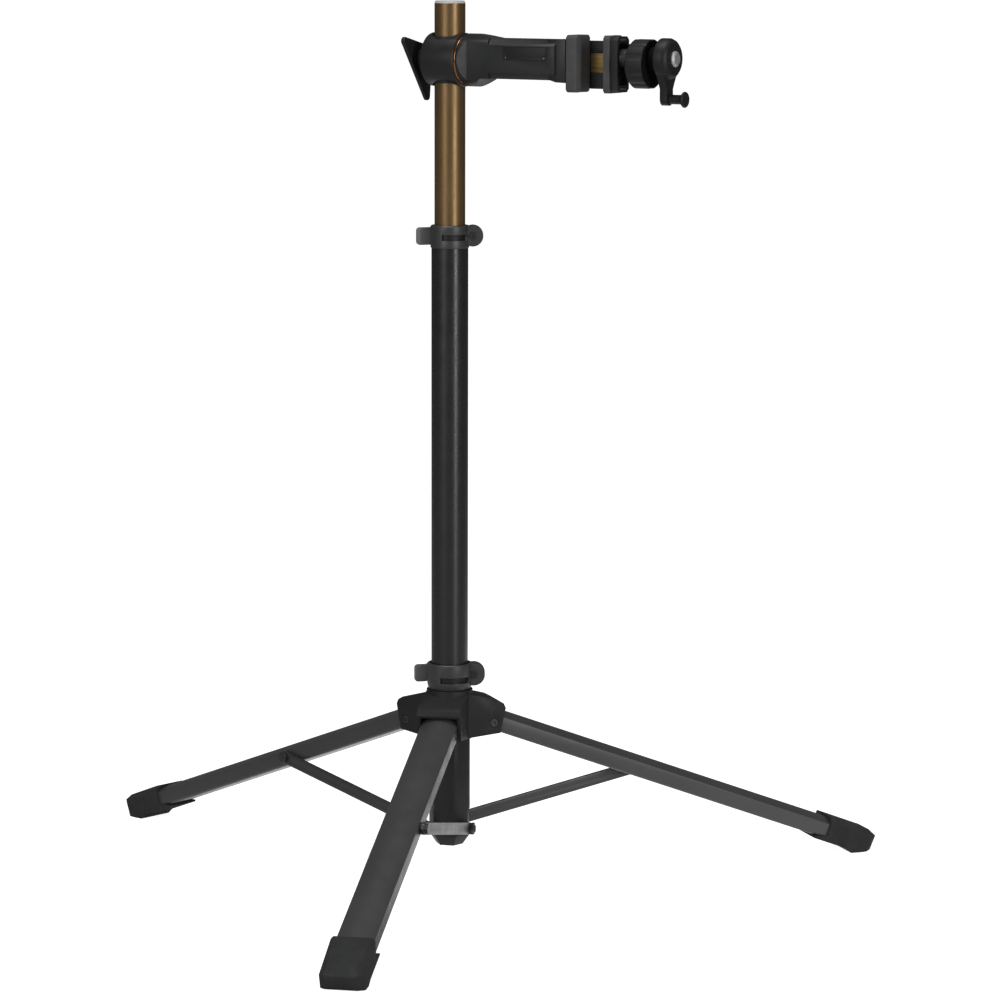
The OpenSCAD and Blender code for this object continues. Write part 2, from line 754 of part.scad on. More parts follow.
module strut(i) {
  color("#343434") on_strut(i) difference() {
    union() {
      box([0, strut_face, -strut_h / 2], [strut_len, strut_back, strut_h / 2]);
      for (x = [0, strut_len]) rod_y(x, 0, strut_h / 2, strut_face, strut_back);
    }
    rod_y(0, 0, strut_bolt_d / 2 + fit, strut_face - 1, strut_back + 1);
    rod_y(strut_len, 0, strut_bolt_d / 2 + fit, strut_face - 1, strut_back + 1);
  }
}

// Shouldered pin at a strut's outer end, close beside the leg
module strut_pin(i) {
  color("#1f1f1f") on_strut(i) {
    rod_y(strut_len, 0, strut_h / 2 - 0.5, leg_w / 2 + gap, strut_face);
    rod_y(strut_len, 0, strut_bolt_d / 2, strut_face - 1, strut_back + 1);
    rod_y(strut_len, 0, strut_h / 2 - 1, strut_back, strut_back + 3);
  }
}

// ---------- mast ----------

module mast_tube() {
  color("#7a5a34") ring_z(mast_r, mast_r - mast_wall, mast_z0, mast_top);
}

module mast_cap() {
  color("#b9bbbd") difference() {
    union() {
      rod_z(0, 0, mast_r - mast_wall - fit, mast_top - 12, mast_top + 1);
      translate([0, 0, mast_top]) cylinder(r1 = mast_r, r2 = mast_r - 1, h = mast_cap_h);
    }
    rod_z(0, 0, mast_r - mast_wall - 3, mast_top - 13, mast_top - 1);
  }
}

module mast_guide() {
  color("#151515") difference() {
    union() {
      rod_z(0, 0, tube_in_r - fit, mast_z0 - 6, mast_z0);
      rod_z(0, 0, mast_r - mast_wall - fit, mast_z0 - 1, mast_z0 + mast_guide_h);
    }
    rod_z(0, 0, mast_r - mast_wall - 4, mast_z0 - 7, mast_z0 + mast_guide_h + 1);
  }
}

module head_bush() {
  color("#151515") ring_z(head_bush_r, mast_r + fit, arm_z - housing_d / 2 + 4, arm_z + housing_d / 2 - 4);
}

// ---------- clamp head ----------

module head_housing() {
  r = housing_d / 2;
  color("#333434") difference() {
    translate([0, 0, arm_z]) lathe_x([
      [0, -housing_back], [r - 6, -housing_back], [r, -housing_back + 5],
      [r, housing_front - 1], [r - 1, housing_front], [0, housing_front]
    ]);
    rod_z(0, 0, head_bush_r + fit, arm_z - r - 1, arm_z + r + 1);
    rod_x(0, arm_z, stud_r + fit, -housing_back - 1, -mast_r);
    for (y = [-17, 17]) rod_x(y, arm_z, 2 + fit, 12, housing_front + 1);
  }
}

module swivel_ring() {
  color("#a8683a") difference() {
    rod_x(0, arm_z, ring_d / 2, housing_front, ring_x1);
    rod_x(0, arm_z, spindle_flange_r + fit, housing_front - 1, ring_x1 + 1);
  }
}

module swivel_spindle() {
  color("#8a8a8a") difference() {
    union() {
      rod_x(0, arm_z, spindle_flange_r, housing_front, ring_x1);
      rod_x(0, arm_z, spindle_d / 2, ring_x1 - 1, spindle_x1 + gap);
    }
    for (y = [-17, 17]) rod_x(y, arm_z, 2 + bolt_clear, housing_front - 1, ring_x1 + 1);
    rod_x(0, arm_z, 3 + fit, spindle_x1 - 22, spindle_x1 + 1);
  }
}

module spindle_screws() {
  color("#555555") for (y = [-17, 17]) rod_x(y, arm_z, 2, 13, ring_x1 - 0.1);
}

module spindle_washer() {
  color("#8a8a8a") difference() {
    rod_x(0, arm_z, spindle_washer_r, spindle_x1 + gap, spindle_x1 + gap + 2);
    rod_x(0, arm_z, 3 + bolt_clear, spindle_x1, spindle_x1 + 4);
  }
}

module spindle_bolt() {
  x = spindle_x1 + gap + 2;
  color("#555555") {
    rod_x(0, arm_z, 3, x - 22, x + 0.5);
    rod_x(0, arm_z, 6, x, x + 4);
  }
}

// Where the outer tangent of two discs touches both: each disc is [y, z, radius]
function touch(a, b) = let (
  d = [b[0] - a[0], b[1] - a[1]],
  n = atan2(d[1], d[0]) - acos((a[2] - b[2]) / norm(d))
) [for (c = [a, b]) [c[0] + c[2] * cos(n), c[1] + c[2] * sin(n)]];

// Knob with two wings that locks the head on the mast
module tension_knob() {
  tip_r = 4.5;
  wing = knob_reach - tip_r;
  discs = [
    for (a = [-knob_spread / 2, knob_spread / 2])
      [wing * cos(knob_turn + a), wing * sin(knob_turn + a), tip_r],
    [0, 0, 17]
  ];
  color("#161616") translate([0, 0, arm_z]) difference() {
    union() {
      run_x(knob_x - knob_t, knob_x) {
        polygon([for (k = [0:2]) each touch(discs[k], discs[(k + 1) % 3])]);
        for (d = discs) translate([d[0], d[1]]) circle(r = d[2]);
      }
      rod_x(0, 0, 14, knob_x - 0.5, -housing_back - gap);
    }
    rod_x(0, 0, stud_r + fit, knob_x - knob_t + 2.5, -housing_back);
  }
}

module tension_stud() {
  color("#8a8a8a") rod_x(0, arm_z, stud_r, knob_x - knob_t + 3, -head_bush_r - gap);
}

// ---------- arm ----------

module arm_outline(shrink) {
  polygon(chamfered(-arm_w / 2 + shrink, arm_w / 2 - shrink, arm_lo + shrink, arm_hi - shrink, 7));
}

panel_end = flange_x - 10.9;
panel_screw_in = 2.5;
PANEL = [
  [panel_end - panel_len, panel_rise], [panel_end, panel_rise],
  [panel_end, panel_rise + panel_h], [panel_end - panel_len, panel_rise + panel_h]
];

// The round end beside the swivel, planed off towards the arm's section
module arm_round_end() {
  big_r = arm_big_d / 2;
  x1 = arm_x0 + arm_big_len;
  intersection() {
    lathe_x([[0, arm_x0], [big_r - 1.5, arm_x0], [big_r, arm_x0 + 1.5], [big_r, x1], [0, x1]]);
    side_plate([
      [arm_x0 - 1, -big_r - 1], [arm_x0 + 15, -big_r - 1], [arm_x0 + 27, arm_lo], [x1 + 1, arm_lo],
      [x1 + 1, arm_hi], [x1, arm_hi], [arm_x0 + 14, big_r + 0.6], [arm_x0 - 1, big_r + 0.6]
    ], -big_r - 1, big_r + 1);
    linear_extrude(2 * big_r + 2, center = true) polygon([
      [arm_x0 - 1, -big_r - 1], [arm_x0 + 2, -big_r - 1], [arm_x0 + 10, -arm_w / 2], [x1 + 1, -arm_w / 2],
      [x1 + 1, arm_w / 2], [arm_x0 + 10, arm_w / 2], [arm_x0 + 2, big_r + 1], [arm_x0 - 1, big_r + 1]
    ]);
  }
}

module arm_shell() {
  panel_y = -arm_w / 2;
  color("#272827") translate([0, 0, arm_z]) difference() {
    union() {
      arm_round_end();
      run_x(arm_x0 + 10, flange_x) arm_outline(0);
      side_plate([
        [flange_x - 10, arm_lo + 1], [flange_x, arm_lo - 2], [arm_reach, arm_lo - 2.5],
        [arm_reach, arm_hi], [flange_x - 10, arm_hi]
      ], -rail_y, rail_y);
    }
    rod_x(0, 0, spindle_d / 2 + fit, arm_x0 - 1, spindle_x1 + 1);
    rod_x(0, 0, spindle_washer_r + 0.5, spindle_x1, spindle_x1 + 10);
    rod_x(0, arm_rise - 1, arm_w / 2 - 3, spindle_x1 + 2, flange_x - 2);
    side_plate(PANEL, panel_y - 1, panel_y + 1.3);
    for (k = [0, 1]) rod_y(rail_screw_places[k][0], rail_screw_places[k][1], 2 + fit, rail_y - 7, rail_y + 1);
  }
}

// Cover plate let into the arm's near side, with its two screws
module side_panel() {
  y0 = -arm_w / 2 + 0.2;
  color("#1c1d1c") translate([0, 0, arm_z]) {
    difference() {
      intersection() {
        side_plate(PANEL, y0, y0 + 1.1);
        box([PANEL[0][0] + 0.1, y0, PANEL[0][1] + 0.1], [PANEL[2][0] - 0.1, y0 + 1.1, PANEL[2][1] - 0.1]);
      }
      for (x = [PANEL[0][0] + panel_screw_in, panel_end - panel_screw_in])
        rod_y(x, panel_rise + panel_screw_in, 1.1, y0 - 1, y0 + 0.4);
    }
  }
}

module fixed_pad() {
  z0 = pad_mid - pad_h / 2;
  color("#3e3e3e") translate([0, 0, arm_z]) difference() {
    run_x(arm_reach, fixed_face) polygon(chamfered(-pad_w / 2, pad_w / 2, z0, z0 + pad_h, 3));
    translate([0, 0, z0 - 1]) linear_extrude(pad_h + 2)
      polygon([[fixed_face + 0.1, -9], [fixed_face + 0.1, 9], [fixed_face - 2.6, 0]]);
  }
}

RAIL = [
  [flange_x, arm_lo - 2], [arm_reach, arm_lo - 4], [fixed_face, arm_lo - 9.5], [moving_face - 14, arm_lo - 9.5],
  [moving_face - 4, arm_lo - 4], [moving_face + 6, arm_lo + 2],
  [end_x1, arm_lo + 2], [end_x1, arm_hi - 4.5], [plate_x0, arm_hi - 4.5],
  [plate_x0 - 4, arm_hi - 1.5], [flange_x, arm_hi - 1.5]
];

module guide_slot(y0, y1, grow) {
  box([fixed_face - grow, y0, -guide_h / 2 - 0.9 - grow], [end_x0 + grow, y1, guide_h / 2 - 0.9 + grow]);
}

module jaw_rail() {
  color("#262726") translate([0, 0, arm_z]) difference() {
    union() {
      side_plate(RAIL, rail_y, rail_y + rail_t);
      // ledge above the guide bar
      box([fixed_face, rail_y - guide_proud, ledge_z], [end_x0 - 1, rail_y + 1, ledge_z + ledge_h]);
    }
    guide_slot(rail_y - 1, rail_y + 4, fit);
    for (p = rail_screw_places) rod_y(p[0], p[1], 2 + bolt_clear, rail_y - 1, rail_y + rail_t + 1);
  }
}

rail_screw_places = [
  [arm_reach - 6, 14], [arm_reach - 6, -12],
  [(end_x0 + end_x1) / 2, 12], [(end_x0 + end_x1) / 2, -10]
];

module rail_screws() {
  color("#555555") translate([0, 0, arm_z]) for (p = rail_screw_places) difference() {
    union() {
      rod_y(p[0], p[1], 2, rail_y - 5.5, rail_y + rail_t + 0.5);
      rod_y(p[0], p[1], 3.8, rail_y + rail_t, rail_y + rail_t + 2);
    }
    hex_socket_y(p[0], p[1], 1.8, rail_y + rail_t + 1, rail_y + rail_t + 3);
  }
}

module guide_bar() {
  color("#7d6038") translate([0, 0, arm_z]) guide_slot(rail_y - guide_proud, rail_y + 4, 0);
}

// Fluted body at the rail's outer end that carries the ram tube
module end_housing() {
  flutes = 10;
  color("#2f3030") translate([0, 0, arm_z]) difference() {
    lathe_x([
      [0, end_x0], [end_d / 2 - 3, end_x0], [end_d / 2, end_x0 + 3],
      [end_d / 2, end_x1 - 1], [end_d / 2 - 1, end_x1], [0, end_x1]
    ]);
    for (k = [0:flutes - 1]) rotate([360 * k / flutes, 0, 0])
      rod_x(0, end_d / 2 + 6, 7.6, end_x0 - 1, end_x1 + 1);
    rod_x(0, screw_rise, ram_r + fit, end_x0 - 1, end_x1 + 1);
    box([end_x0 - 1, rail_y, -end_d], [end_x1 + 1, rail_y + end_d, end_d]);
    for (k = [2, 3]) rod_y(rail_screw_places[k][0], rail_screw_places[k][1], 2 + fit, rail_y - 6, rail_y + 1);
  }
}

// ---------- moving jaw ----------

module moving_jaw() {
  z0 = pad_mid - pad_h / 2;
  w = moving_pad_w - 4;
  color("#202120") translate([0, 0, arm_z]) difference() {
    union() {
      run_x(plate_x0, plate_x1) polygon(chamfered(-w / 2, w / 2, z0 + 1, z0 + pad_h - 1, 4));
      // shoe that slides along the guide bar
      box([plate_x0, w / 2 - 3, -9], [plate_x1, rail_y - guide_proud - gap, 7]);
    }
    // recess in the back
    box([plate_x0 + jaw_web_t, -w / 2 + 4, z0 + 9], [plate_x1 + 1, w / 2 - 4, z0 + pad_h - 9]);
    for (s = [-1, 1]) box([plate_x0 + jaw_web_t + 2, -w / 2 + 6, pad_mid + s * (pad_h / 2 - 5) - 1.2],
                          [plate_x1 + 1, w / 2 - 6, pad_mid + s * (pad_h / 2 - 5) + 1.2]);
    rod_x(0, screw_rise, ram_r + fit, plate_x0 + 0.5, plate_x1 + 1);
    for (s = [-1, 1]) pad_tab_room(s, 0.2);
  }
}

module moving_pad_section() {
  z0 = pad_mid - pad_h / 2;
  polygon(chamfered(-moving_pad_w / 2, moving_pad_w / 2, z0, z0 + pad_h, 3));
}

module pad_tab_room(side, grow) {
  zc = pad_mid + side * (pad_h / 2 - 5);
  box([plate_x0 - 1, -6 - grow, zc - 1.5 - grow], [plate_x1 + 0.6 + 3 * grow, 6 + grow, zc + 1.5 + grow]);
}

module moving_pad() {
  z0 = pad_mid - pad_h / 2;
  color("#525252") translate([0, 0, arm_z]) {
    difference() {
      run_x(moving_face, plate_x0) moving_pad_section();
      translate([0, 0, z0 - 1]) linear_extrude(pad_h + 2)
        polygon([[moving_face - 0.1, -9], [moving_face - 0.1, 9], [moving_face + 2.6, 0]]);
    }
    for (s = [-1, 1]) pad_tab_room(s, 0);
  }
}

// Threaded tube that pushes the jaw; the screw turns inside it
module ram_tube() {
  color("#2c2d2e") translate([0, 0, arm_z]) difference() {
    rod_x(0, screw_rise, ram_r, plate_x0 + 0.5, ram_x1);
    rod_x(0, screw_rise, screw_r + 0.5, plate_x0 - 1, ram_x1 - 10);
    rod_x(0, screw_rise, screw_r + fit, ram_x1 - 11, ram_x1 + 1);
  }
}

// ---------- crank ----------

module crank_arm() {
  boss_r = crank_boss_d / 2;
  half = crank_arm_w / 2;
  color("#2e2f2e") translate([0, 0, screw_z]) difference() {
    union() {
      lathe_x([
        [0, collar_x0], [13, collar_x0], [13, boss_x0], [boss_r, boss_x0],
        [boss_r, boss_x1 - 6], [boss_r - 1.6, boss_x1 - 2.5], [boss_r - 4.6, boss_x1], [0, boss_x1]
      ]);
      // web that narrows from the boss to the handle
      run_x(boss_x0 + 0.5, crank_web_x1) {
        polygon([[-boss_r * 0.93, -6], [boss_r * 0.93, -6], [half, -boss_r - 10], [-half, -boss_r - 10]]);
        translate([-half, -crank_throw]) square([crank_arm_w, crank_throw - boss_r]);
        translate([0, -crank_throw]) circle(r = half);
      }
    }
    rod_x(0, 0, ram_r + 0.8, collar_x0 - 1, cavity_x1);
    rod_x(0, 0, screw_r + fit, cavity_x1 - 1, boss_x1 + 1);
    rod_x(0, -crank_throw, 2.5 + fit, boss_x0, crank_web_x1 + 1);
  }
}

// Lead screw with its bright end cap
module lead_screw() {
  color("#a4a6a7") translate([0, 0, screw_z]) {
    rod_x(0, 0, screw_r, plate_x0 + jaw_back + 1.5, boss_x1 + 1);
    lathe_x([[0, boss_x1], [8.8, boss_x1], [8.8, boss_x1 + 1.5], [6.5, boss_x1 + 3.5], [0, boss_x1 + 3.5]]);
  }
}

// Turning grip on its own pin
module crank_handle() {
  x0 = crank_web_x1 + 0.3;
  grip_r = grip_d / 2;
  color("#1b1b1b") translate([0, 0, handle_z]) {
    rod_x(0, 0, 2.5, boss_x0 + 1, x0 + 1);
    lathe_x([
      [0, x0], [grip_r, x0], [grip_r, handle_x1 - 6], [grip_r + 3.6, handle_x1 - 2.5],
      [grip_r + 3.6, handle_x1 - 1], [grip_r + 2.4, handle_x1], [0, handle_x1]
    ]);
  }
}

main_tube();
lower_sleeve();
base_plug();
base_cap();
base_screw();
strut_pivot_bolts();
mast_bush();
upper_collar();
upper_clamp_bolt();
upper_washer();
upper_lever_pin();
upper_lever();
hub_spider();
hub_liner();
leg_pivot_bolts();
lower_collar();
lower_clamp_bolt();
lower_washer();
lower_lever_pin();
lower_lever();
leg(0);  // leg_a
leg(1);  // leg_b
leg(2);  // leg_c
leg_block(0);  // leg_block_a
leg_block(1);  // leg_block_b
leg_block(2);  // leg_block_c
foot(0);  // foot_a
foot(1);  // foot_b
foot(2);  // foot_c
strut(0);  // strut_a
strut(1);  // strut_b
strut(2);  // strut_c
strut_pin(0);  // strut_pin_a
strut_pin(1);  // strut_pin_b
strut_pin(2);  // strut_pin_c
mast_tube();
mast_cap();
mast_guide();
head_bush();
head_housing();
swivel_ring();
swivel_spindle();
spindle_screws();
spindle_washer();
spindle_bolt();
tension_knob();
tension_stud();
arm_shell();
side_panel();
fixed_pad();
jaw_rail();
guide_bar();
end_housing();
rail_screws();
moving_jaw();
moving_pad();
ram_tube();
crank_arm();
lead_screw();
crank_handle();
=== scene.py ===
"""Repair stand: finishes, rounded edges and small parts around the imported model."""

import json
from math import cos, pi, radians, sin

import bmesh
import bpy
from mathutils import Matrix, Vector


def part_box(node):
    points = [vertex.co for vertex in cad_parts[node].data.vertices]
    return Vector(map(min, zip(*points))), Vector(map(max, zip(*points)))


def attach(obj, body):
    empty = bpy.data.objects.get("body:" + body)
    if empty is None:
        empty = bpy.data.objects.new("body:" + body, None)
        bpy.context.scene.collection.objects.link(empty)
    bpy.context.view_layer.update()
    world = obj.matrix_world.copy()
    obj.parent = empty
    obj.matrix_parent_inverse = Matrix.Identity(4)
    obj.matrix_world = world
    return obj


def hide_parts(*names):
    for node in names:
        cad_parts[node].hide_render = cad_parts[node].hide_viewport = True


bl_info = {
    "name": "Repair Stand Builder",
    "version": (1, 0, 0),
    "blender": (4, 5, 0),
    "location": "View3D > Sidebar > Repair Stand",
    "description": "Builds the finished look of a folding repair stand around its packed model",
    "category": "Object",
}

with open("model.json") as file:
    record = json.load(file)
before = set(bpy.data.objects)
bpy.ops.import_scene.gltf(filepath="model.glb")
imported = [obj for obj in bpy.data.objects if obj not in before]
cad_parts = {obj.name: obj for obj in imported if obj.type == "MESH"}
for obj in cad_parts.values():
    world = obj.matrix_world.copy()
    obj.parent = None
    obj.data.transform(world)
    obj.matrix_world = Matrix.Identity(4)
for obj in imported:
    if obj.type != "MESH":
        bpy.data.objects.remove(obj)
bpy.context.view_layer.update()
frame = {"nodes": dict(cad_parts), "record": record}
MM = 0.001
BODY_OF = {n: body for body, members in frame["record"]["behaviour"]["bodies"].items() for n in members}


# ---------- settings ----------

def length(name, text, value):
    """A length setting, its default given in millimetres."""
    return bpy.props.FloatProperty(name=name, description=text, default=value * MM, min=0, unit="LENGTH")


class StandSizes(bpy.types.PropertyGroup):
    """Edge radii and small details."""
    cast_edge: length("Cast edge", "Rounding of the cast hub, collars and head", 1.2)
    rubber_edge: length("Rubber edge", "Rounding of the rubber feet and the fixed pad", 1.3)
    plastic_edge: length("Plastic edge", "Rounding of the knob, crank and moving pad", 1.5)
    metal_edge: length("Metal edge", "Rounding of sleeves, levers, struts and housings", 0.6)
    leg_edge: length("Leg edge", "Rounding of the leg tubes, the mast's cap and the strut bolts", 0.5)
    ring_edge: length("Ring edge", "Rounding of the swivel ring and the thrust washers", 0.4)
    fine_edge: length("Fine edge", "Rounding of bushes, screws, hub bolts and the guide bar", 0.3)
    bolt_edge: length("Bolt edge", "Rounding of the collars' clamp bolts", 0.25)
    panel_edge: length("Panel edge", "Rounding of the arm's cover panel", 0.2)
    cover_screws: bpy.props.IntProperty(
        name="Cover screws", description="How many screws hold the arm's cover panel", default=2, min=1)
    cover_screw_radius: length("Cover screw radius", "Radius of a cover screw's head", 1.0)


def colour(name, text, value):
    """A colour setting."""
    return bpy.props.FloatVectorProperty(
        name=name, description=text, subtype="COLOR", size=4, min=0, max=1, default=(*value, 1))


class StandColours(bpy.types.PropertyGroup):
    """Paint, plastic and metal colours."""
    tube: colour("Column", "Satin black paint of the column", (0.013, 0.013, 0.0135))
    leg: colour("Legs", "Dark grey paint of the legs", (0.05, 0.05, 0.05))
    mast: colour("Mast", "Bronze paint of the mast", (0.20, 0.125, 0.058))
    cast: colour("Castings", "Black coat of the hub and head", (0.013, 0.0135, 0.0135))
    # painted shade: a near-black colour that stands in for the shadow in the gap between the end housing
    # and the crank
    painted_shade: colour("Painted shade", "Black of the recess behind the crank", (0.004, 0.004, 0.004))
    collar: colour("Collars", "Grey coat of the clamp collars", (0.04, 0.04, 0.04))
    strut: colour("Struts", "Dark coat of the struts", (0.028, 0.028, 0.028))
    plastic: colour("Plastic", "Black moulded plastic", (0.011, 0.011, 0.011))
    lever: colour("Levers", "Grey coat of the levers", (0.14, 0.145, 0.142))
    rubber: colour("Rubber", "Rubber of the feet", (0.031, 0.033, 0.031))
    pad: colour("Pads", "Rubber of the jaw pads", (0.075, 0.074, 0.074))
    bronze: colour("Bronze", "Bronze swivel ring and guide bar", (0.42, 0.20, 0.08))
    guide: colour("Guide bar", "Brown bronze of the rail's guide bar", (0.40, 0.27, 0.11))
    steel: colour("Steel", "Bare steel", (0.42, 0.42, 0.43))
    dark_steel: colour("Dark steel", "Blackened bolts and screws", (0.02, 0.02, 0.02))
    cap: colour("Bright cap", "Silver cap of the crank", (0.52, 0.53, 0.54))
    mast_cap: colour("Mast cap", "Pale plug in the mast's top", (0.5, 0.5, 0.51))


# ---------- materials ----------

NOISE_SPAN = (0.3, 0.7)
RANGE_ENDS = ("From Min", "From Max", "To Min", "To Max")


class Finish:
    """A node tree with a Principled shader, read in Object coordinates."""

    def __init__(self, name, base, roughness, metallic=0.0, specular=0.5):
        self.material = bpy.data.materials.new(name)
        self.material.use_nodes = True
        self.material.diffuse_color = tuple(base)
        self.tree = self.material.node_tree
        self.shader = self.tree.nodes["Principled BSDF"]
        self.base = tuple(base)
        self.shader.inputs["Base Color"].default_value = self.base
        self.shader.inputs["Roughness"].default_value = roughness
        self.shader.inputs["Metallic"].default_value = metallic
        self.shader.inputs["Specular IOR Level"].default_value = specular
        self.coords = self.tree.nodes.new("ShaderNodeTexCoord")

    def link(self, a, b):
        """Joins one node's output to another's input."""
        self.tree.links.new(a, b)

    def noise(self, scale, detail=3.0, stretch=(1, 1, 1)):
        """Noise in metres: scale is how many features fit one metre."""
        mapping = self.tree.nodes.new("ShaderNodeMapping")
        mapping.inputs["Scale"].default_value = stretch
        self.link(self.coords.outputs["Object"], mapping.inputs["Vector"])
        noise = self.tree.nodes.new("ShaderNodeTexNoise")
        noise.inputs["Scale"].default_value = scale
        noise.inputs["Detail"].default_value = detail
        self.link(mapping.outputs["Vector"], noise.inputs["Vector"])
        return noise.outputs["Fac"]

    def vary_colour(self, factor, darker, lighter):
        """Runs the base colour from darker to lighter over a factor."""
        ramp = self.tree.nodes.new("ShaderNodeValToRGB")
        for element, place, gain in zip(ramp.color_ramp.elements, NOISE_SPAN, (darker, lighter)):
            element.position = place
            element.color = (*[min(1, c * gain) for c in self.base[:3]], 1)
        self.link(factor, ramp.inputs["Fac"])
        self.link(ramp.outputs["Color"], self.shader.inputs["Base Color"])
        return self

    def vary_roughness(self, factor, low, high):
        """Runs the roughness over a factor."""
        span = self.tree.nodes.new("ShaderNodeMapRange")
        for name, value in zip(RANGE_ENDS, (*NOISE_SPAN, low, high)):
            span.inputs[name].default_value = value
        self.link(factor, span.inputs["Value"])
        self.link(span.outputs["Result"], self.shader.inputs["Roughness"])
        return self

    def bump(self, height, distance, strength):
        """Adds relief of the given depth in metres."""
        node = self.tree.nodes.new("ShaderNodeBump")
        node.inputs["Distance"].default_value = distance
        node.inputs["Strength"].default_value = strength
        self.link(height, node.inputs["Height"])
        self.link(node.outputs["Normal"], self.shader.inputs["Normal"])
        return self


def satin_paint(name, base, roughness=0.42, specular=0.3):
    """Powder coat: faint orange peel, slight clouding."""
    f = Finish(name, base, roughness, specular=specular)
    f.vary_colour(f.noise(14), 0.93, 1.08)
    f.vary_roughness(f.noise(60), roughness - 0.04, roughness + 0.05)
    return f.bump(f.noise(1400, 2), 0.04 * MM, 0.5).material


def cast_coat(name, base, roughness=0.55, specular=0.3):
    """Painted casting: fine speckled skin."""
    f = Finish(name, base, roughness, specular=specular)
    f.vary_colour(f.noise(900, 4), 0.86, 1.14)
    f.vary_roughness(f.noise(45), roughness - 0.05, roughness + 0.06)
    return f.bump(f.noise(1900, 3), 0.06 * MM, 0.6).material


def moulded(name, base, roughness=0.5, specular=0.3):
    """Moulded plastic with a spark-eroded grain."""
    f = Finish(name, base, roughness, specular=specular)
    f.vary_colour(f.noise(30), 0.92, 1.08)
    return f.bump(f.noise(2600, 2), 0.03 * MM, 0.6).material


def rubber(name, base, roughness=0.8, specular=0.2):
    """Matt rubber with dusty clouding."""
    f = Finish(name, base, roughness, specular=specular)
    f.vary_colour(f.noise(55, 5), 0.88, 1.12)
    f.vary_roughness(f.noise(120), roughness - 0.06, roughness + 0.08)
    return f.bump(f.noise(1500, 4), 0.05 * MM, 0.7).material


def drawn_metal(name, base, roughness=0.3, stretch=(0.03, 1, 1), specular=0.5):
    """Metal with fine lines along its drawn direction."""
    f = Finish(name, base, roughness, metallic=1.0, specular=specular)
    f.vary_colour(f.noise(900, 2, stretch), 0.9, 1.06)
    f.vary_roughness(f.noise(700, 2, stretch), roughness - 0.06, roughness + 0.08)
    return f.bump(f.noise(1600, 2, stretch), 0.01 * MM, 0.4).material


def bronze_paint(name, base):
    """Metallic bronze paint: fine flake under a satin coat."""
    f = Finish(name, base, 0.4, metallic=0.75, specular=0.3)
    f.vary_colour(f.noise(3800, 1), 0.85, 1.15)
    f.vary_roughness(f.noise(50), 0.36, 0.43)
    return f.bump(f.noise(1200, 2), 0.03 * MM, 0.4).material


def make_finishes(c):
    """One material for each of the record's slots and the few extra finishes."""
    return {
        "tube_black": satin_paint("Column black", c.tube, 0.31, 0.5),
        "leg_grey": satin_paint("Leg grey", c.leg, 0.36, 0.5),
        "mast_bronze": bronze_paint("Mast bronze", c.mast),
        "cast_black": cast_coat("Cast black", c.cast),
        "head_black": cast_coat("Head black", c.cast, 0.4, 0.32),
        # painted shade: a near-black matt finish for the shadowed gap behind the crank, not a material the
        # stand has
        "painted_shade_black": rubber("Painted shade black", c.painted_shade, 0.9, 0.1),
        "collar_grey": cast_coat("Collar grey", c.collar, 0.4, 0.5),
        "strut_dark": satin_paint("Strut dark", c.strut, 0.36, 0.6),
        "plastic_black": moulded("Black plastic", c.plastic),
        "plastic_grey": moulded("Mast cap grey", c.mast_cap, 0.45),
        "lever_grey": satin_paint("Lever grey", c.lever, 0.42, 0.5),
        "rubber_grey": rubber("Foot rubber", c.rubber),
        "pad_grey": rubber("Pad rubber", c.pad, 0.7),
        "steel": drawn_metal("Bare steel", c.steel),
        "dark_steel": cast_coat("Blackened steel", c.dark_steel, 0.4, 0.5),
        "bright_cap": drawn_metal("Bright cap", c.cap, 0.6, (1, 1, 1)),
        "bronze": drawn_metal("Bronze", c.bronze, 0.2, (1, 1, 1)),
        "guide_bronze": drawn_metal("Guide bronze", c.guide, 0.42),
    }


FINISH = {}


# ---------- meshes ----------

WELD = 0.002 * MM
FLAT = radians(0.4)
EDGE = radians(28)
SEGMENTS = 3
SHARP = 32
RING = 48


def welded(node):
    """A closed copy of a node's mesh, with its flat faces joined up."""
    mesh = bmesh.new()
    mesh.from_mesh(frame["nodes"][node].data)
    bmesh.ops.remove_doubles(mesh, verts=mesh.verts, dist=WELD)
    bmesh.ops.dissolve_limit(mesh, angle_limit=FLAT, verts=mesh.verts, edges=mesh.edges)
    return mesh


def finished_mesh(mesh, name, sharp=SHARP):
    """Turns a bmesh into an object at the origin, smooth apart from its sharp edges."""
    bmesh.ops.triangulate(mesh, faces=[f for f in mesh.faces if len(f.verts) > 4])
    data = bpy.data.meshes.new(name)
    mesh.to_mesh(data)
    mesh.free()
    data.shade_smooth()
    data.set_sharp_from_angle(angle=radians(sharp))
    made = bpy.data.objects.new(name, data)
    bpy.context.scene.collection.objects.link(made)
    return made


def dress(made, node, finish):
    """Gives a piece its material and body, and hides the node it stands for."""
    made.data.materials.append(FINISH[finish])
    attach(made, BODY_OF[node])
    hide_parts(node)
    return made


def sliced(mesh, cuts):
    """Cuts a long piece across into short lengths, so that its shading stays even."""
    ranked = sorted((v.co.copy() for v in mesh.verts), key=lambda co: co.x ** 2 + co.y ** 2)
    few = max(1, len(ranked) // 10)
    near = sum(ranked[:few], Vector()) / few
    far = sum(ranked[-few:], Vector()) / few
    for k in range(1, cuts + 1):
        bmesh.ops.bisect_plane(mesh, geom=mesh.verts[:] + mesh.edges[:] + mesh.faces[:],
                               plane_co=near.lerp(far, k / (cuts + 1)), plane_no=(far - near).normalized())


def zone(made, finish, chosen):
    """Gives the faces that chosen picks a second finish."""
    made.data.materials.append(FINISH[finish])
    for face in made.data.polygons:
        if chosen(face):
            face.material_index = 1


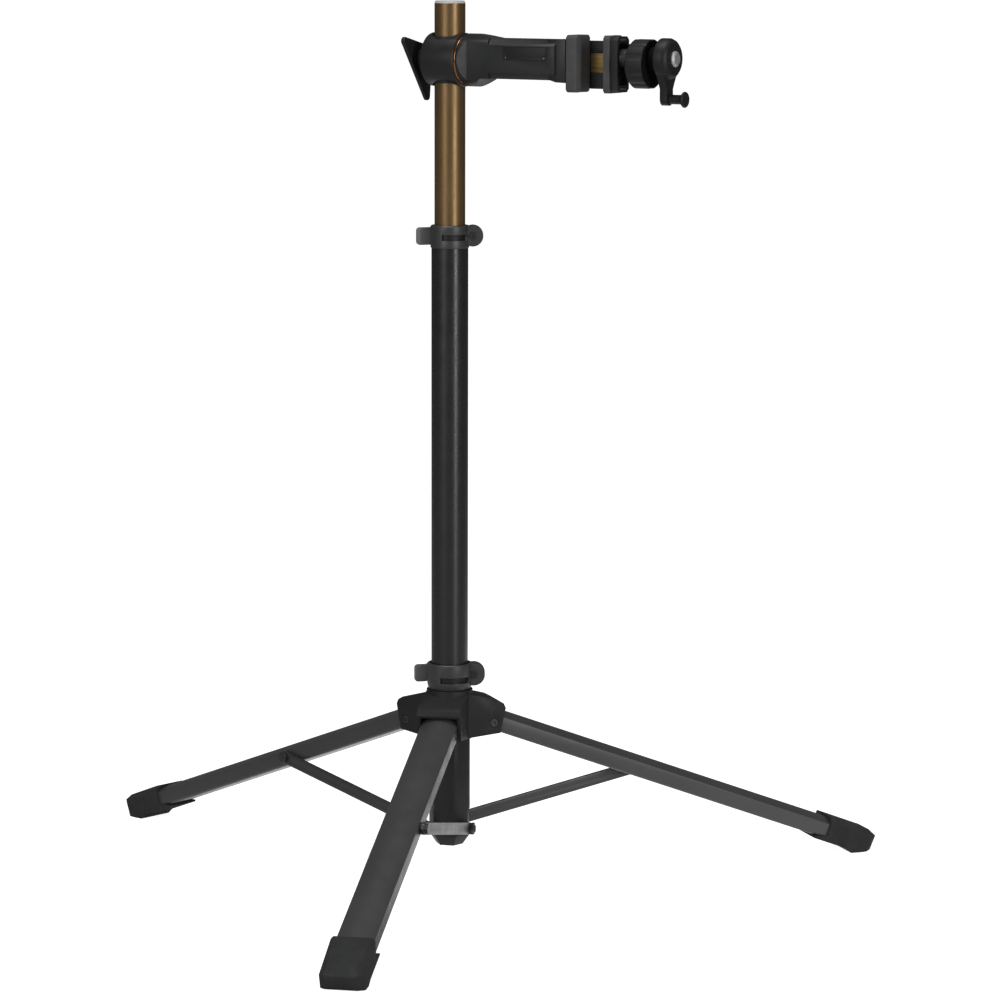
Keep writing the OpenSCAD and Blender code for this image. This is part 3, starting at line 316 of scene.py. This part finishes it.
def rounded(node, name, finish, width, cuts=0, sharp=SHARP):
    """A node's shape with its edges rounded."""
    mesh = welded(node)
    if cuts:
        sliced(mesh, cuts)
    edges = [e for e in mesh.edges if len(e.link_faces) == 2 and e.calc_face_angle(0) > EDGE]
    if width > 0 and edges:
        bmesh.ops.bevel(mesh, geom=edges, offset=width, offset_type="OFFSET", segments=SEGMENTS,
                        profile=0.5, affect="EDGES", clamp_overlap=True, harden_normals=False)
    return dress(finished_mesh(mesh, name, sharp), node, finish)


def keep(node, finish):
    """Leaves a node's own shape showing, in the given finish."""
    data = frame["nodes"][node].data
    data.materials.clear()
    data.materials.append(FINISH[finish])


def loft(rings, name):
    """Skins closed rings of points and caps both ends; each ring has the same number of points."""
    mesh = bmesh.new()
    loops = [[mesh.verts.new(p) for p in ring] for ring in rings]
    for a, b in zip(loops, loops[1:]):
        for i in range(RING):
            j = (i + 1) % RING
            mesh.faces.new((a[i], a[j], b[j], b[i]))
    mesh.faces.new(list(reversed(loops[0])))
    mesh.faces.new(loops[-1])
    bmesh.ops.recalc_face_normals(mesh, faces=mesh.faces)
    return finished_mesh(mesh, name)


def circle(radius, height):
    """Points round a circle."""
    return [Vector((radius * cos(2 * pi * i / RING), radius * sin(2 * pi * i / RING), height))
            for i in range(RING)]


def hexagon(apothem, height):
    """Points along a hexagon, as many as a circle's, so the two can be joined."""
    points = []
    for i in range(RING):
        a = 2 * pi * i / RING
        reach = apothem / cos((a + pi / 6) % (pi / 3) - pi / 6)
        points.append(Vector((reach * cos(a), reach * sin(a), height)))
    return points


# ---------- stage ----------

# name, place, aim, width and height in metres, power in watts
LAMPS = (
    ("Key lamp", (4.1, -1.5, 1.36), (0.05, 0, 1.36), (0.42, 2.6), 72),
    ("Fill lamp", (-0.5, -4.8, 2.1), (0.05, 0, 0.55), (2.0, 2.6), 82),
    ("Top lamp", (0.2, -0.4, 4.2), (0.05, 0, 0.55), (2.8, 1.0), 80),
)
LENS = 147.9
SENSOR = 36
CAMERA_PLACE = (2.4747, -3.9506, 1.1043)
CAMERA_TURN = (81.929, -0.128, 31.3735)
FLOOR_HALF = 120
FLOOR_GREY = 0.62
# glow over distance from the patch's centre: near and far distance, near and far strength
PATCH_CENTRE = (0.0, 0.7, 0.0)
PATCH_FADE = (0.6, 0.95, 0.9, 0.0)
WHITE_RISE = (1.2, 4.0, 0.94, 1.0)
WORLD_DIM = 0.06


def maths(tree, operation, *values):
    """A Math node over plain numbers and sockets; returns its result."""
    node = tree.nodes.new("ShaderNodeMath")
    node.operation = operation
    for socket, value in zip(node.inputs, values):
        if isinstance(value, (int, float)):
            socket.default_value = value
        else:
            tree.links.new(value, socket)
    return node.outputs[0]


def floor_glow(tree):
    """White to the camera and through glass; paint and metal see a bright patch behind the stand."""
    path = tree.nodes.new("ShaderNodeLightPath").outputs
    coords = tree.nodes.new("ShaderNodeTexCoord")
    reach = tree.nodes.new("ShaderNodeVectorMath")
    reach.operation = "DISTANCE"
    reach.inputs[1].default_value = PATCH_CENTRE
    tree.links.new(coords.outputs["Object"], reach.inputs[0])
    spread = []
    for ends in (PATCH_FADE, WHITE_RISE):
        step = tree.nodes.new("ShaderNodeMapRange")
        step.interpolation_type = "SMOOTHSTEP"
        for name, value in zip(RANGE_ENDS, ends):
            step.inputs[name].default_value = value
        tree.links.new(reach.outputs["Value"], step.inputs["Value"])
        spread.append(step.outputs["Result"])
    patch, white = spread
    direct = maths(tree, "MAXIMUM", path["Is Camera Ray"], path["Is Transmission Ray"])
    mirrored = maths(tree, "MULTIPLY", path["Is Glossy Ray"], patch)
    return maths(tree, "MAXIMUM", maths(tree, "MULTIPLY", direct, white), mirrored)


class STAND_OT_stage(bpy.types.Operator):
    """Make the floor, the lamps, the world and the camera"""
    bl_idname = "stand.stage"
    bl_label = "Stage"

    def execute(self, context):
        scene = context.scene
        scene.view_settings.view_transform = "Standard"
        self.floor()
        self.world(scene)
        self.lamps()
        self.camera(scene)
        return {"FINISHED"}

    def floor(self):
        """A wide plane that stays white to the camera and takes a faint shadow."""
        corners = [(x * FLOOR_HALF, y * FLOOR_HALF, 0) for x, y in ((-1, -1), (1, -1), (1, 1), (-1, 1))]
        data = bpy.data.meshes.new("Floor")
        data.from_pydata(corners, [], [(0, 1, 2, 3)])
        made = bpy.data.objects.new("Floor", data)
        bpy.context.scene.collection.objects.link(made)
        material = bpy.data.materials.new("Floor white")
        material.use_nodes = True
        tree = material.node_tree
        shader = tree.nodes["Principled BSDF"]
        shader.inputs["Base Color"].default_value = (FLOOR_GREY, FLOOR_GREY, FLOOR_GREY, 1)
        shader.inputs["Roughness"].default_value = 0.9
        shader.inputs["Specular IOR Level"].default_value = 0.0
        shader.inputs["Emission Color"].default_value = (1, 1, 1, 1)
        tree.links.new(floor_glow(tree), shader.inputs["Emission Strength"])
        data.materials.append(material)

    def world(self, scene):
        """White to the camera, dim to everything else."""
        world = bpy.data.worlds.new("Studio")
        scene.world = world
        world.use_nodes = True
        tree = world.node_tree
        background = tree.nodes["Background"]
        background.inputs["Color"].default_value = (1, 1, 1, 1)
        path = tree.nodes.new("ShaderNodeLightPath").outputs
        direct = maths(tree, "MAXIMUM", path["Is Camera Ray"], path["Is Transmission Ray"])
        mirrored = maths(tree, "MULTIPLY_ADD", path["Is Glossy Ray"], WORLD_DIM, WORLD_DIM)
        tree.links.new(maths(tree, "MAXIMUM", direct, mirrored), background.inputs["Strength"])

    def lamps(self):
        """The three soft boxes."""
        for name, place, aim, size, power in LAMPS:
            lamp = bpy.data.lights.new(name, "AREA")
            lamp.shape = "RECTANGLE"
            lamp.size, lamp.size_y = size
            lamp.energy = power
            made = bpy.data.objects.new(name, lamp)
            made.location = place
            made.rotation_euler = (Vector(aim) - Vector(place)).to_track_quat("-Z", "Y").to_euler()
            bpy.context.scene.collection.objects.link(made)

    def camera(self, scene):
        """The long lens that looks at the stand from its front."""
        lens = bpy.data.cameras.new("Camera")
        lens.lens = LENS
        lens.sensor_width = SENSOR
        lens.clip_end = 400
        made = bpy.data.objects.new("Camera", lens)
        made.location = CAMERA_PLACE
        made.rotation_euler = [radians(turn) for turn in CAMERA_TURN]
        scene.collection.objects.link(made)
        scene.camera = made


# ---------- pieces ----------

LEG_CUTS = 24
ARM_SHARP = 24
# how far the painted shade on the end housing's end face and on the crank's collar reaches along the arm
RIM_DEPTH = 1 * MM
COLLAR_DEPTH = 12.2 * MM


class STAND_OT_finishes(bpy.types.Operator):
    """Make every paint, plastic, rubber and metal finish"""
    bl_idname = "stand.finishes"
    bl_label = "Finishes"

    def execute(self, context):
        FINISH.update(make_finishes(context.scene.stand_colours))
        return {"FINISHED"}


class STAND_OT_column(bpy.types.Operator):
    """Make the column tube, its sleeve, plug, base cap and bush"""
    bl_idname = "stand.column"
    bl_label = "Column"

    def execute(self, context):
        s = context.scene.stand_sizes
        keep("main_tube", "tube_black")
        rounded("lower_sleeve", "column_sleeve", "cast_black", s.metal_edge)
        keep("base_plug", "plastic_black")
        rounded("base_cap", "column_foot_cap", "plastic_black", s.metal_edge)
        keep("base_screw", "dark_steel")
        rounded("mast_bush", "column_mouth_bush", "plastic_black", s.fine_edge)
        return {"FINISHED"}


class STAND_OT_collars(bpy.types.Operator):
    """Make both clamp collars with their bolts, washers, pins and levers"""
    bl_idname = "stand.collars"
    bl_label = "Quick-release collars"

    def execute(self, context):
        s = context.scene.stand_sizes
        for side in ("upper", "lower"):
            rounded(side + "_collar", side + "_clamp_collar", "collar_grey", s.cast_edge)
            rounded(side + "_clamp_bolt", side + "_collar_bolt", "dark_steel", s.bolt_edge)
            rounded(side + "_washer", side + "_thrust_washer", "plastic_black", s.ring_edge)
            keep(side + "_lever_pin", "steel")
            rounded(side + "_lever", side + "_cam_lever", "lever_grey", s.metal_edge)
        return {"FINISHED"}


class STAND_OT_hub(bpy.types.Operator):
    """Make the sliding leg hub, its liner and its pivot bolts"""
    bl_idname = "stand.hub"
    bl_label = "Leg hub"

    def execute(self, context):
        s = context.scene.stand_sizes
        rounded("hub_spider", "leg_hub", "cast_black", s.cast_edge)
        keep("hub_liner", "plastic_black")
        rounded("leg_pivot_bolts", "hub_pivot_bolts", "dark_steel", s.fine_edge)
        return {"FINISHED"}


class STAND_OT_legs(bpy.types.Operator):
    """Make the three legs, their end blocks and rubber feet"""
    bl_idname = "stand.legs"
    bl_label = "Legs and feet"

    def execute(self, context):
        s = context.scene.stand_sizes
        for letter in "abc":
            rounded("leg_" + letter, "leg_tube_" + letter, "leg_grey", s.leg_edge, cuts=LEG_CUTS)
            keep("leg_block_" + letter, "plastic_black")
            rounded("foot_" + letter, "foot_cap_" + letter, "rubber_grey", s.rubber_edge)
        return {"FINISHED"}


class STAND_OT_struts(bpy.types.Operator):
    """Make the three struts with their pins and bolts"""
    bl_idname = "stand.struts"
    bl_label = "Struts"

    def execute(self, context):
        s = context.scene.stand_sizes
        for letter in "abc":
            rounded("strut_" + letter, "strut_bar_" + letter, "strut_dark", s.metal_edge)
            rounded("strut_pin_" + letter, "strut_rivet_" + letter, "dark_steel", s.metal_edge)
        rounded("strut_pivot_bolts", "strut_bolts", "dark_steel", s.leg_edge)
        return {"FINISHED"}


class STAND_OT_mast(bpy.types.Operator):
    """Make the telescopic mast, its end cap, guide and head bush"""
    bl_idname = "stand.mast"
    bl_label = "Mast"

    def execute(self, context):
        s = context.scene.stand_sizes
        keep("mast_tube", "mast_bronze")
        rounded("mast_cap", "mast_end_cap", "plastic_grey", s.leg_edge)
        keep("mast_guide", "plastic_black")
        rounded("head_bush", "head_sliding_bush", "plastic_black", s.fine_edge)
        return {"FINISHED"}


class STAND_OT_head(bpy.types.Operator):
    """Make the clamp head's housing, swivel and tension knob"""
    bl_idname = "stand.head"
    bl_label = "Clamp head"

    def execute(self, context):
        s = context.scene.stand_sizes
        rounded("head_housing", "head_body", "head_black", s.cast_edge)
        rounded("swivel_ring", "head_ring", "bronze", s.ring_edge)
        for node in ("swivel_spindle", "spindle_washer"):
            keep(node, "steel")
        for node in ("spindle_screws", "spindle_bolt"):
            keep(node, "dark_steel")
        rounded("tension_knob", "head_knob", "plastic_black", s.plastic_edge)
        keep("tension_stud", "steel")
        return {"FINISHED"}


class STAND_OT_arm(bpy.types.Operator):
    """Make the arm, its cover panel, the rail and the end housing"""
    bl_idname = "stand.arm"
    bl_label = "Arm and rail"

    def execute(self, context):
        s = context.scene.stand_sizes
        rounded("arm_shell", "arm_body", "head_black", s.cast_edge, sharp=ARM_SHARP)
        rounded("side_panel", "arm_cover", "plastic_black", s.panel_edge)
        rounded("jaw_rail", "arm_rail", "cast_black", s.cast_edge)
        rounded("guide_bar", "arm_guide_bar", "guide_bronze", s.fine_edge)
        housing = rounded("end_housing", "arm_end_housing", "cast_black", s.metal_edge)
        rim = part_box("end_housing")[1].x - RIM_DEPTH
        # painted shade: the end housing's face towards the crank gets the near-black finish where the
        # crank shades it
        zone(housing, "painted_shade_black", lambda face: face.normal.x > 0.9 and face.center.x > rim)
        rounded("rail_screws", "arm_rail_screws", "dark_steel", s.fine_edge)
        return {"FINISHED"}


class STAND_OT_jaws(bpy.types.Operator):
    """Make the two jaw pads, the moving jaw and its ram tube"""
    bl_idname = "stand.jaws"
    bl_label = "Jaws"

    def execute(self, context):
        s = context.scene.stand_sizes
        rounded("fixed_pad", "jaw_fixed_pad", "pad_grey", s.rubber_edge)
        rounded("moving_pad", "jaw_moving_pad", "pad_grey", s.plastic_edge)
        rounded("moving_jaw", "jaw_carrier", "cast_black", s.metal_edge)
        keep("ram_tube", "dark_steel")
        return {"FINISHED"}


class STAND_OT_crank(bpy.types.Operator):
    """Make the crank arm, its bright-capped screw and the turning handle"""
    bl_idname = "stand.crank"
    bl_label = "Crank"

    def execute(self, context):
        s = context.scene.stand_sizes
        body = rounded("crank_arm", "crank_body", "plastic_black", s.plastic_edge)
        boss_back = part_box("crank_arm")[0].x + COLLAR_DEPTH
        # painted shade: the crank's collar behind its boss gets the near-black finish, standing in for the
        # shadow there
        zone(body, "painted_shade_black", lambda face: face.center.x < boss_back)
        rounded("lead_screw", "crank_screw", "bright_cap", s.fine_edge)
        rounded("crank_handle", "crank_grip", "plastic_black", s.metal_edge)
        return {"FINISHED"}


# ---------- repeated small parts ----------

# levels of a cover screw's rim, top and socket floor, and its distance from the panel's edges
SCREW_RIM = 0.25 * MM
SCREW_TOP = 0.4 * MM
SCREW_SOCKET = 0.15 * MM
SCREW_INSET = 2.6 * MM


def row_tree(name):
    """A node tree that sets a part along a straight row."""
    tree = bpy.data.node_groups.new(name, "GeometryNodeTree")
    tree.interface.new_socket("Geometry", in_out="OUTPUT", socket_type="NodeSocketGeometry")
    for socket, kind in (("Part", "Object"), ("Count", "Int"), ("Start", "Vector"), ("Step", "Vector"),
                         ("Finish", "Material")):
        tree.interface.new_socket(socket, in_out="INPUT", socket_type="NodeSocket" + kind)
    given = tree.nodes.new("NodeGroupInput")
    result = tree.nodes.new("NodeGroupOutput")
    line = tree.nodes.new("GeometryNodeMeshLine")
    part = tree.nodes.new("GeometryNodeObjectInfo")
    place = tree.nodes.new("GeometryNodeInstanceOnPoints")
    real = tree.nodes.new("GeometryNodeRealizeInstances")
    paint = tree.nodes.new("GeometryNodeSetMaterial")
    link = tree.links.new
    link(given.outputs["Count"], line.inputs["Count"])
    link(given.outputs["Start"], line.inputs["Start Location"])
    link(given.outputs["Step"], line.inputs["Offset"])
    link(given.outputs["Part"], part.inputs["Object"])
    link(line.outputs["Mesh"], place.inputs["Points"])
    link(part.outputs["Geometry"], place.inputs["Instance"])
    link(place.outputs["Instances"], real.inputs["Geometry"])
    link(real.outputs["Geometry"], paint.inputs["Geometry"])
    link(given.outputs["Finish"], paint.inputs["Material"])
    link(paint.outputs["Geometry"], result.inputs["Geometry"])
    return tree


def grown(name, tree, values):
    """Runs a node tree and returns its result as a plain mesh object."""
    data = bpy.data.meshes.new(name + "_seed")
    seed = bpy.data.objects.new(name + "_seed", data)
    bpy.context.scene.collection.objects.link(seed)
    modifier = seed.modifiers.new("Row", "NODES")
    modifier.node_group = tree
    for socket in tree.interface.items_tree:
        if socket.in_out == "INPUT" and socket.name in values:
            modifier[socket.identifier] = values[socket.name]
    bpy.context.view_layer.update()
    evaluated = seed.evaluated_get(bpy.context.evaluated_depsgraph_get())
    mesh = bpy.data.meshes.new_from_object(evaluated)
    mesh.name = name
    bpy.data.objects.remove(seed)
    made = bpy.data.objects.new(name, mesh)
    bpy.context.scene.collection.objects.link(made)
    return made


class STAND_OT_cover_screws(bpy.types.Operator):
    """Make the row of small screws on the arm's cover panel"""
    bl_idname = "stand.cover_screws"
    bl_label = "Cover screws"

    def execute(self, context):
        s = context.scene.stand_sizes
        low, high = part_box("side_panel")
        r = s.cover_screw_radius
        socket = r * 0.45
        head = loft([circle(r, 0), circle(r, SCREW_RIM), circle(r * 0.8, SCREW_TOP),
                     hexagon(socket, SCREW_TOP), hexagon(socket, SCREW_SOCKET)], "screw_pattern")
        head.data.transform(Matrix.Rotation(radians(90), 4, "X"))
        start = Vector((low.x + SCREW_INSET, low.y + SCREW_TOP, low.z + SCREW_INSET))
        step = Vector(((high.x - low.x - 2 * SCREW_INSET) / max(1, s.cover_screws - 1), 0, 0))
        made = grown("arm_cover_screws", row_tree("Screw row"), {
            "Part": head, "Count": s.cover_screws, "Start": start, "Step": step,
            "Finish": FINISH["steel"]})
        bpy.data.objects.remove(head)
        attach(made, "arm")
        return {"FINISHED"}


STEPS = (
    STAND_OT_stage, STAND_OT_finishes, STAND_OT_column, STAND_OT_collars, STAND_OT_hub, STAND_OT_legs,
    STAND_OT_struts, STAND_OT_mast, STAND_OT_head, STAND_OT_arm, STAND_OT_jaws, STAND_OT_crank,
    STAND_OT_cover_screws,
)


class STAND_PT_panel(bpy.types.Panel):
    """The stand's settings and steps"""
    bl_idname = "STAND_PT_panel"
    bl_label = "Repair Stand"
    bl_space_type = "VIEW_3D"
    bl_region_type = "UI"
    bl_category = "Repair Stand"

    def draw(self, context):
        layout = self.layout
        for group, settings in ((StandSizes, context.scene.stand_sizes),
                                (StandColours, context.scene.stand_colours)):
            box = layout.box()
            for name in group.__annotations__:
                box.prop(settings, name)
        for step in STEPS:
            layout.operator(step.bl_idname)


CLASSES = (StandSizes, StandColours, *STEPS, STAND_PT_panel)


def register():
    for item in CLASSES:
        bpy.utils.register_class(item)
    bpy.types.Scene.stand_sizes = bpy.props.PointerProperty(type=StandSizes)
    bpy.types.Scene.stand_colours = bpy.props.PointerProperty(type=StandColours)


def unregister():
    del bpy.types.Scene.stand_colours
    del bpy.types.Scene.stand_sizes
    for item in reversed(CLASSES):
        bpy.utils.unregister_class(item)


def main():
    register()
    for step in STEPS:
        group, name = step.bl_idname.split(".")
        getattr(getattr(bpy.ops, group), name)()


if __name__ == "__main__":
    main()
